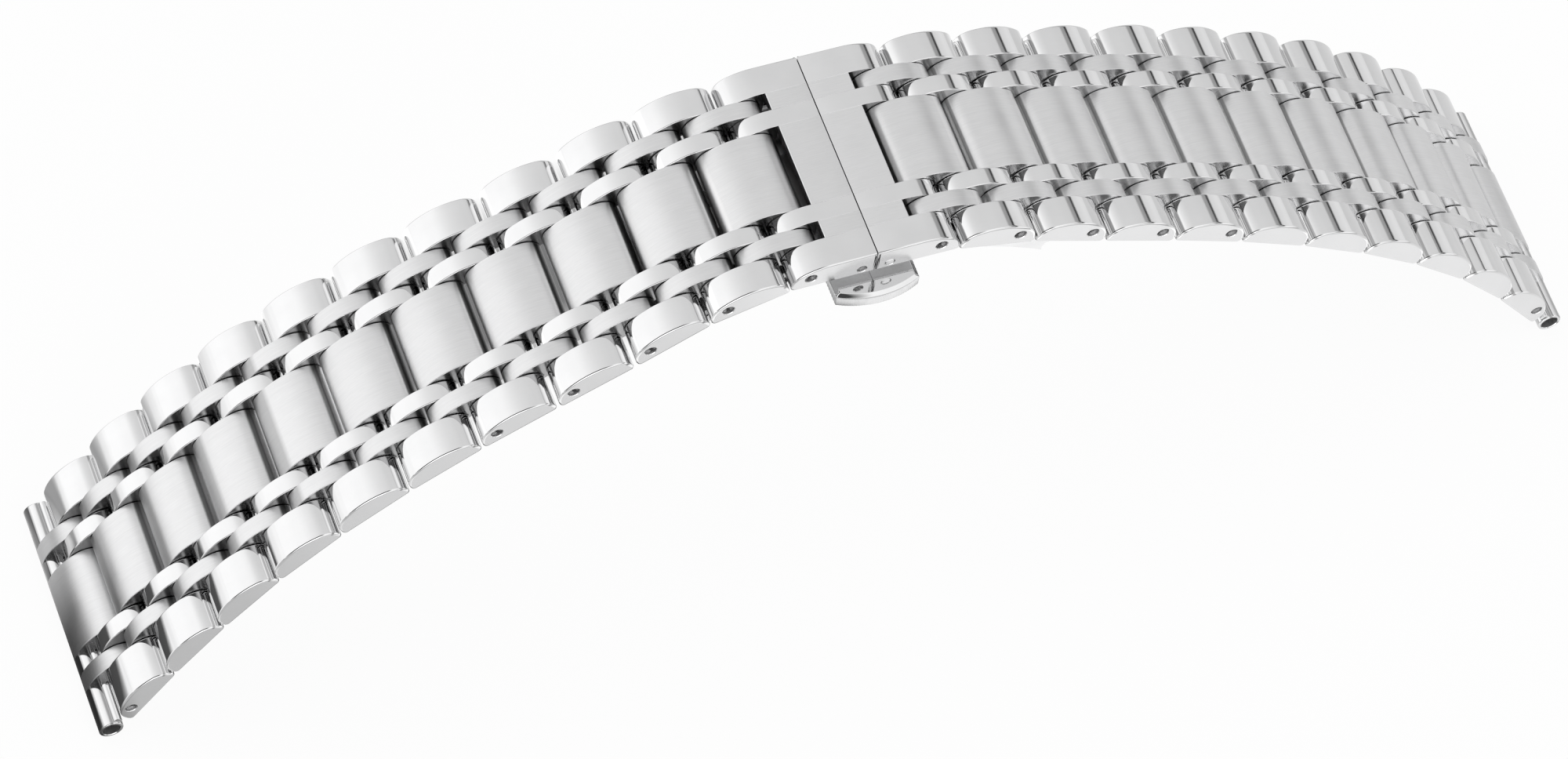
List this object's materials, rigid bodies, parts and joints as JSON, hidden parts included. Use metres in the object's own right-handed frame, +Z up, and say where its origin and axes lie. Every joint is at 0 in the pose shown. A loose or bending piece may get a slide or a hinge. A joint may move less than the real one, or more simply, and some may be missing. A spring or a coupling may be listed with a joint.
{
  "type": "steel watch bracelet",
  "caption": "Tapered steel watch bracelet of rows of hinged links, with a folding clasp opened from both sides, push buttons and end tubes for spring bars.",
  "frame": {"origin": "on the floor under the arch, midway between the two end tubes and across the bracelet", "axes": "+X along the bracelet to its right end, +Y across it to the rear button, +Z up through the clasp"},
  "size_m": [0.1324, 0.0232, 0.0435],
  "materials": {
    "satin_steel": "satin, brushed along the bracelet",
    "polished_steel": "mirror polished",
    "button_polished": "polished top, knurled rim",
    "pin_steel": "drawn wire",
    "spring_steel": "bright spring wire"
  },
  "bodies": {
    "base": {"base_plate": "satin_steel", "latch_housing": "satin_steel", "base_hinge_pins": "pin_steel", "front_button_springs": "spring_steel", "rear_button_springs": "spring_steel"},
    "front_button": {"front_button": "button_polished"},
    "rear_button": {"rear_button": "button_polished"},
    "left_arm": {"left_arm": "polished_steel"},
    "left_cover": {"left_cover": "satin_steel", "left_cover_pins": "pin_steel"},
    "left_centre_row_01": {"left_centre_row_01": "satin_steel"},
    "left_outer_row_01": {"left_outer_row_01": "polished_steel"},
    "left_centre_row_02": {"left_centre_row_02": "satin_steel"},
    "left_outer_row_02": {"left_outer_row_02": "polished_steel"},
    "left_centre_row_03": {"left_centre_row_03": "satin_steel"},
    "left_outer_row_03": {"left_outer_row_03": "polished_steel"},
    "left_centre_row_04": {"left_centre_row_04": "satin_steel"},
    "left_outer_row_04": {"left_outer_row_04": "polished_steel"},
    "left_centre_row_05": {"left_centre_row_05": "satin_steel"},
    "left_outer_row_05": {"left_outer_row_05": "polished_steel"},
    "left_centre_row_06": {"left_centre_row_06": "satin_steel"},
    "left_outer_row_06": {"left_outer_row_06": "polished_steel"},
    "left_centre_row_07": {"left_centre_row_07": "satin_steel"},
    "left_outer_row_07": {"left_outer_row_07": "polished_steel"},
    "left_centre_row_08": {"left_centre_row_08": "satin_steel"},
    "left_outer_row_08": {"left_outer_row_08": "polished_steel"},
    "left_centre_row_09": {"left_centre_row_09": "satin_steel"},
    "left_outer_row_09": {"left_outer_row_09": "polished_steel"},
    "left_centre_row_10": {"left_centre_row_10": "satin_steel"},
    "left_outer_row_10": {"left_outer_row_10": "polished_steel"},
    "left_end_piece": {"left_end_piece": "satin_steel"},
    "right_arm": {"right_arm": "polished_steel"},
    "right_cover": {"right_cover": "satin_steel", "right_cover_pins": "pin_steel"},
    "right_centre_row_01": {"right_centre_row_01": "satin_steel"},
    "right_outer_row_01": {"right_outer_row_01": "polished_steel"},
    "right_centre_row_02": {"right_centre_row_02": "satin_steel"},
    "right_outer_row_02": {"right_outer_row_02": "polished_steel"},
    "right_centre_row_03": {"right_centre_row_03": "satin_steel"},
    "right_outer_row_03": {"right_outer_row_03": "polished_steel"},
    "right_centre_row_04": {"right_centre_row_04": "satin_steel"},
    "right_outer_row_04": {"right_outer_row_04": "polished_steel"},
    "right_centre_row_05": {"right_centre_row_05": "satin_steel"},
    "right_outer_row_05": {"right_outer_row_05": "polished_steel"},
    "right_centre_row_06": {"right_centre_row_06": "satin_steel"},
    "right_outer_row_06": {"right_outer_row_06": "polished_steel"},
    "right_centre_row_07": {"right_centre_row_07": "satin_steel"},
    "right_outer_row_07": {"right_outer_row_07": "polished_steel"},
    "right_centre_row_08": {"right_centre_row_08": "satin_steel"},
    "right_outer_row_08": {"right_outer_row_08": "polished_steel"},
    "right_centre_row_09": {"right_centre_row_09": "satin_steel"},
    "right_outer_row_09": {"right_outer_row_09": "polished_steel"},
    "right_centre_row_10": {"right_centre_row_10": "satin_steel"},
    "right_outer_row_10": {"right_outer_row_10": "polished_steel"},
    "right_end_piece": {"right_end_piece": "satin_steel"}
  },
  "joints": [
    {"name": "front_button_press", "type": "slide", "parent": "base", "child": "front_button", "axis": [0, 1, 0], "range_m": [0, 0.0008], "stiffness_N_per_m": 900, "springref_m": -0.0006, "deforming": ["front_button_springs"]},
    {"name": "rear_button_press", "type": "slide", "parent": "base", "child": "rear_button", "axis": [0, -1, 0], "range_m": [0, 0.0008], "stiffness_N_per_m": 900, "springref_m": -0.0006, "deforming": ["rear_button_springs"]},
    {"name": "left_arm_fold", "type": "hinge", "parent": "base", "child": "left_arm", "pos_m": [-0.01712, 0, 0.03476], "axis": [0, -1, 0], "range_deg": [0, 150]},
    {"name": "left_cover_turn", "type": "hinge", "parent": "left_arm", "child": "left_cover", "pos_m": [-0.00149, 0, 0.04165], "axis": [0, -1, 0], "range_deg": [-150, 0]},
    {"name": "left_link_hinge_01", "type": "hinge", "parent": "left_cover", "child": "left_centre_row_01", "pos_m": [-0.00586, 0, 0.04234], "axis": [0, -1, 0], "range_deg": [-12, 1]},
    {"name": "left_link_hinge_02", "type": "hinge", "parent": "left_centre_row_01", "child": "left_outer_row_01", "pos_m": [-0.00939, 0, 0.04191], "axis": [0, -1, 0], "range_deg": [-9.67, 1.33]},
    {"name": "left_link_hinge_03", "type": "hinge", "parent": "left_outer_row_01", "child": "left_centre_row_02", "pos_m": [-0.01284, 0, 0.04106], "axis": [0, -1, 0], "range_deg": [-9.67, 1.33]},
    {"name": "left_link_hinge_04", "type": "hinge", "parent": "left_centre_row_02", "child": "left_outer_row_02", "pos_m": [-0.01616, 0, 0.03982], "axis": [0, -1, 0], "range_deg": [-9.67, 1.33]},
    {"name": "left_link_hinge_05", "type": "hinge", "parent": "left_outer_row_02", "child": "left_centre_row_03", "pos_m": [-0.01932, 0, 0.03821], "axis": [0, -1, 0], "range_deg": [-2, 9]},
    {"name": "left_link_hinge_06", "type": "hinge", "parent": "left_centre_row_03", "child": "left_outer_row_03", "pos_m": [-0.02251, 0, 0.03665], "axis": [0, -1, 0], "range_deg": [-2, 9]},
    {"name": "left_link_hinge_07", "type": "hinge", "parent": "left_outer_row_03", "child": "left_centre_row_04", "pos_m": [-0.02573, 0, 0.03514], "axis": [0, -1, 0], "range_deg": [-2, 9]},
    {"name": "left_link_hinge_08", "type": "hinge", "parent": "left_centre_row_04", "child": "left_outer_row_04", "pos_m": [-0.02897, 0, 0.03369], "axis": [0, -1, 0], "range_deg": [-5, 6]},
    {"name": "left_link_hinge_09", "type": "hinge", "parent": "left_outer_row_04", "child": "left_centre_row_05", "pos_m": [-0.03216, 0, 0.03213], "axis": [0, -1, 0], "range_deg": [-5, 6]},
    {"name": "left_link_hinge_10", "type": "hinge", "parent": "left_centre_row_05", "child": "left_outer_row_05", "pos_m": [-0.03529, 0, 0.03046], "axis": [0, -1, 0], "range_deg": [-5, 6]},
    {"name": "left_link_hinge_11", "type": "hinge", "parent": "left_outer_row_05", "child": "left_centre_row_06", "pos_m": [-0.03836, 0, 0.02868], "axis": [0, -1, 0], "range_deg": [-5.33, 5.67]},
    {"name": "left_link_hinge_12", "type": "hinge", "parent": "left_centre_row_06", "child": "left_outer_row_06", "pos_m": [-0.04136, 0, 0.02678], "axis": [0, -1, 0], "range_deg": [-5.33, 5.67]},
    {"name": "left_link_hinge_13", "type": "hinge", "parent": "left_outer_row_06", "child": "left_centre_row_07", "pos_m": [-0.04427, 0, 0.02475], "axis": [0, -1, 0], "range_deg": [-5.33, 5.67]},
    {"name": "left_link_hinge_14", "type": "hinge", "parent": "left_centre_row_07", "child": "left_outer_row_07", "pos_m": [-0.04711, 0, 0.02261], "axis": [0, -1, 0], "range_deg": [-6.33, 4.67]},
    {"name": "left_link_hinge_15", "type": "hinge", "parent": "left_outer_row_07", "child": "left_centre_row_08", "pos_m": [-0.04981, 0, 0.02031], "axis": [0, -1, 0], "range_deg": [-6.33, 4.67]},
    {"name": "left_link_hinge_16", "type": "hinge", "parent": "left_centre_row_08", "child": "left_outer_row_08", "pos_m": [-0.05237, 0, 0.01786], "axis": [0, -1, 0], "range_deg": [-6.33, 4.67]},
    {"name": "left_link_hinge_17", "type": "hinge", "parent": "left_outer_row_08", "child": "left_centre_row_09", "pos_m": [-0.05479, 0, 0.01526], "axis": [0, -1, 0], "range_deg": [-5.33, 5.67]},
    {"name": "left_link_hinge_18", "type": "hinge", "parent": "left_centre_row_09", "child": "left_outer_row_09", "pos_m": [-0.0571, 0, 0.01256], "axis": [0, -1, 0], "range_deg": [-5.33, 5.67]},
    {"name": "left_link_hinge_19", "type": "hinge", "parent": "left_outer_row_09", "child": "left_centre_row_10", "pos_m": [-0.0593, 0, 0.00977], "axis": [0, -1, 0], "range_deg": [-5.33, 5.67]},
    {"name": "left_link_hinge_20", "type": "hinge", "parent": "left_centre_row_10", "child": "left_outer_row_10", "pos_m": [-0.06138, 0, 0.0069], "axis": [0, -1, 0], "range_deg": [-4.33, 6.67]},
    {"name": "left_link_hinge_21", "type": "hinge", "parent": "left_outer_row_10", "child": "left_end_piece", "pos_m": [-0.06339, 0, 0.00398], "axis": [0, -1, 0], "range_deg": [-4.33, 6.67]},
    {"name": "right_arm_fold", "type": "hinge", "parent": "base", "child": "right_arm", "pos_m": [0.01606, 0, 0.03365], "axis": [0, 1, 0], "range_deg": [0, 150]},
    {"name": "right_cover_turn", "type": "hinge", "parent": "right_arm", "child": "right_cover", "pos_m": [0.00091, 0, 0.04157], "axis": [0, 1, 0], "range_deg": [-150, 0]},
    {"name": "right_link_hinge_01", "type": "hinge", "parent": "right_cover", "child": "right_centre_row_01", "pos_m": [0.00533, 0, 0.04197], "axis": [0, 1, 0], "range_deg": [-12, 1]},
    {"name": "right_link_hinge_02", "type": "hinge", "parent": "right_centre_row_01", "child": "right_outer_row_01", "pos_m": [0.00881, 0, 0.0413], "axis": [0, 1, 0], "range_deg": [-7.67, 3.33]},
    {"name": "right_link_hinge_03", "type": "hinge", "parent": "right_outer_row_01", "child": "right_centre_row_02", "pos_m": [0.01223, 0, 0.04034], "axis": [0, 1, 0], "range_deg": [-7.67, 3.33]},
    {"name": "right_link_hinge_04", "type": "hinge", "parent": "right_centre_row_02", "child": "right_outer_row_02", "pos_m": [0.01557, 0, 0.03912], "axis": [0, 1, 0], "range_deg": [-7.67, 3.33]},
    {"name": "right_link_hinge_05", "type": "hinge", "parent": "right_outer_row_02", "child": "right_centre_row_03", "pos_m": [0.01878, 0, 0.03762], "axis": [0, 1, 0], "range_deg": [-3, 8]},
    {"name": "right_link_hinge_06", "type": "hinge", "parent": "right_centre_row_03", "child": "right_outer_row_03", "pos_m": [0.022, 0, 0.03612], "axis": [0, 1, 0], "range_deg": [-3, 8]},
    {"name": "right_link_hinge_07", "type": "hinge", "parent": "right_outer_row_03", "child": "right_centre_row_04", "pos_m": [0.02522, 0, 0.03463], "axis": [0, 1, 0], "range_deg": [-3, 8]},
    {"name": "right_link_hinge_08", "type": "hinge", "parent": "right_centre_row_04", "child": "right_outer_row_04", "pos_m": [0.02844, 0, 0.03313], "axis": [0, 1, 0], "range_deg": [-4.67, 6.33]},
    {"name": "right_link_hinge_09", "type": "hinge", "parent": "right_outer_row_04", "child": "right_centre_row_05", "pos_m": [0.03162, 0, 0.03154], "axis": [0, 1, 0], "range_deg": [-4.67, 6.33]},
    {"name": "right_link_hinge_10", "type": "hinge", "parent": "right_centre_row_05", "child": "right_outer_row_05", "pos_m": [0.03475, 0, 0.02986], "axis": [0, 1, 0], "range_deg": [-4.67, 6.33]},
    {"name": "right_link_hinge_11", "type": "hinge", "parent": "right_outer_row_05", "child": "right_centre_row_06", "pos_m": [0.03782, 0, 0.02809], "axis": [0, 1, 0], "range_deg": [-5, 6]},
    {"name": "right_link_hinge_12", "type": "hinge", "parent": "right_centre_row_06", "child": "right_outer_row_06", "pos_m": [0.04084, 0, 0.02622], "axis": [0, 1, 0], "range_deg": [-5, 6]},
    {"name": "right_link_hinge_13", "type": "hinge", "parent": "right_outer_row_06", "child": "right_centre_row_07", "pos_m": [0.04378, 0, 0.02424], "axis": [0, 1, 0], "range_deg": [-5, 6]},
    {"name": "right_link_hinge_14", "type": "hinge", "parent": "right_centre_row_07", "child": "right_outer_row_07", "pos_m": [0.04666, 0, 0.02215], "axis": [0, 1, 0], "range_deg": [-5.67, 5.33]},
    {"name": "right_link_hinge_15", "type": "hinge", "parent": "right_outer_row_07", "child": "right_centre_row_08", "pos_m": [0.04943, 0, 0.01994], "axis": [0, 1, 0], "range_deg": [-5.67, 5.33]},
    {"name": "right_link_hinge_16", "type": "hinge", "parent": "right_centre_row_08", "child": "right_outer_row_08", "pos_m": [0.0521, 0, 0.0176], "axis": [0, 1, 0], "range_deg": [-5.67, 5.33]},
    {"name": "right_link_hinge_17", "type": "hinge", "parent": "right_outer_row_08", "child": "right_centre_row_09", "pos_m": [0.05466, 0, 0.01514], "axis": [0, 1, 0], "range_deg": [-6.33, 4.67]},
    {"name": "right_link_hinge_18", "type": "hinge", "parent": "right_centre_row_09", "child": "right_outer_row_09", "pos_m": [0.05707, 0, 0.01253], "axis": [0, 1, 0], "range_deg": [-6.33, 4.67]},
    {"name": "right_link_hinge_19", "type": "hinge", "parent": "right_outer_row_09", "child": "right_centre_row_10", "pos_m": [0.05932, 0, 0.00979], "axis": [0, 1, 0], "range_deg": [-6.33, 4.67]},
    {"name": "right_link_hinge_20", "type": "hinge", "parent": "right_centre_row_10", "child": "right_outer_row_10", "pos_m": [0.06141, 0, 0.00692], "axis": [0, 1, 0], "range_deg": [-4.67, 6.33]},
    {"name": "right_link_hinge_21", "type": "hinge", "parent": "right_outer_row_10", "child": "right_end_piece", "pos_m": [0.06342, 0, 0.00399], "axis": [0, 1, 0], "range_deg": [-4.67, 6.33]}
  ],
  "couplings": [
    {"joint": "left_cover_turn", "follows": "left_arm_fold", "ratio": -1},
    {"joint": "right_cover_turn", "follows": "right_arm_fold", "ratio": -1}
  ]
}
